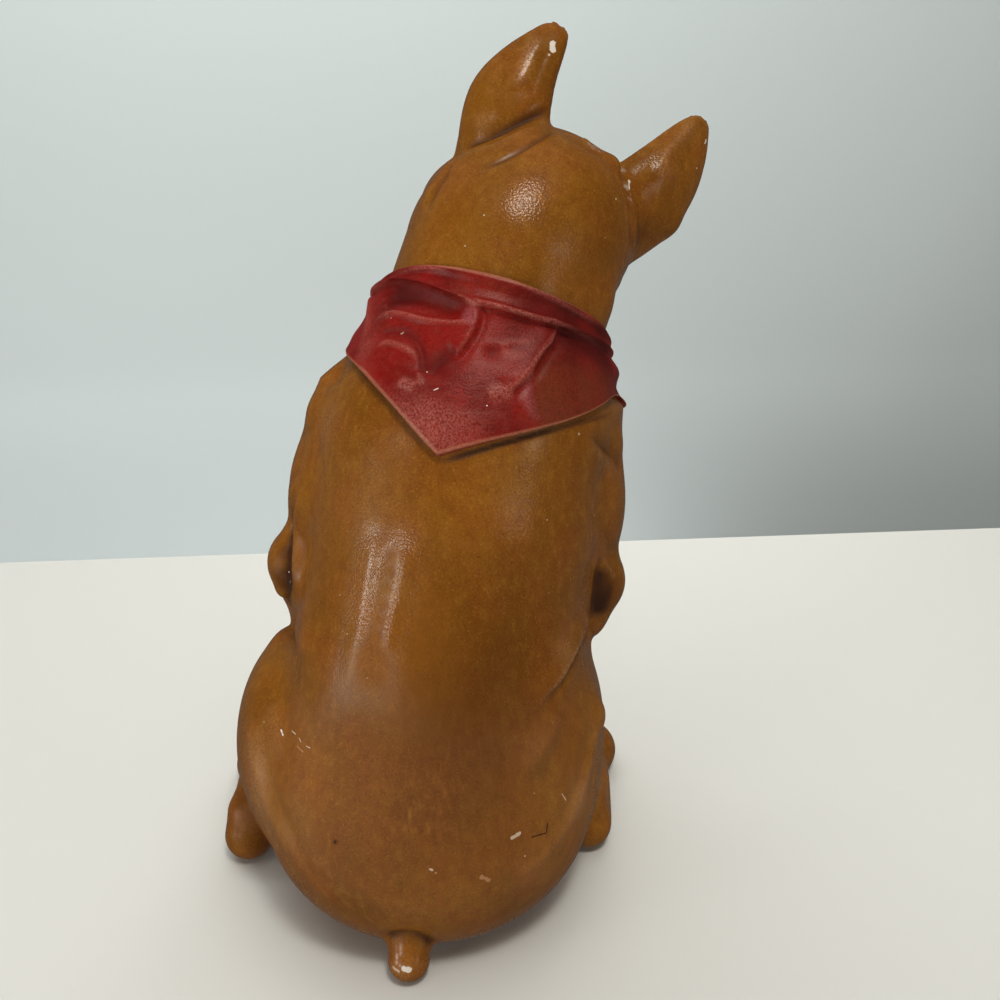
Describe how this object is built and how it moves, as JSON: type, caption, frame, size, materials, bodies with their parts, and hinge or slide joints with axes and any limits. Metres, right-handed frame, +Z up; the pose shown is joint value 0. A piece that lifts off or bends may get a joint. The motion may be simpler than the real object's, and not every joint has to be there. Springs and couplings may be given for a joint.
{
  "type": "resin dog figurine",
  "caption": "Painted hollow resin casting of a sitting short-haired dog with cropped ears, a cocked head and a tied neckerchief.",
  "frame": {"origin": "on the flat underside of the seat, on the mid line between the haunches", "axes": "+Y is the way the dog faces, +X its right side, +Z up"},
  "size_m": [0.2569, 0.2216, 0.3894],
  "materials": {
    "brown_paint": "satin",
    "red_paint": "satin"
  },
  "bodies": {
    "root": {"dog_figurine": "brown_paint"}
  },
  "joints": []
}
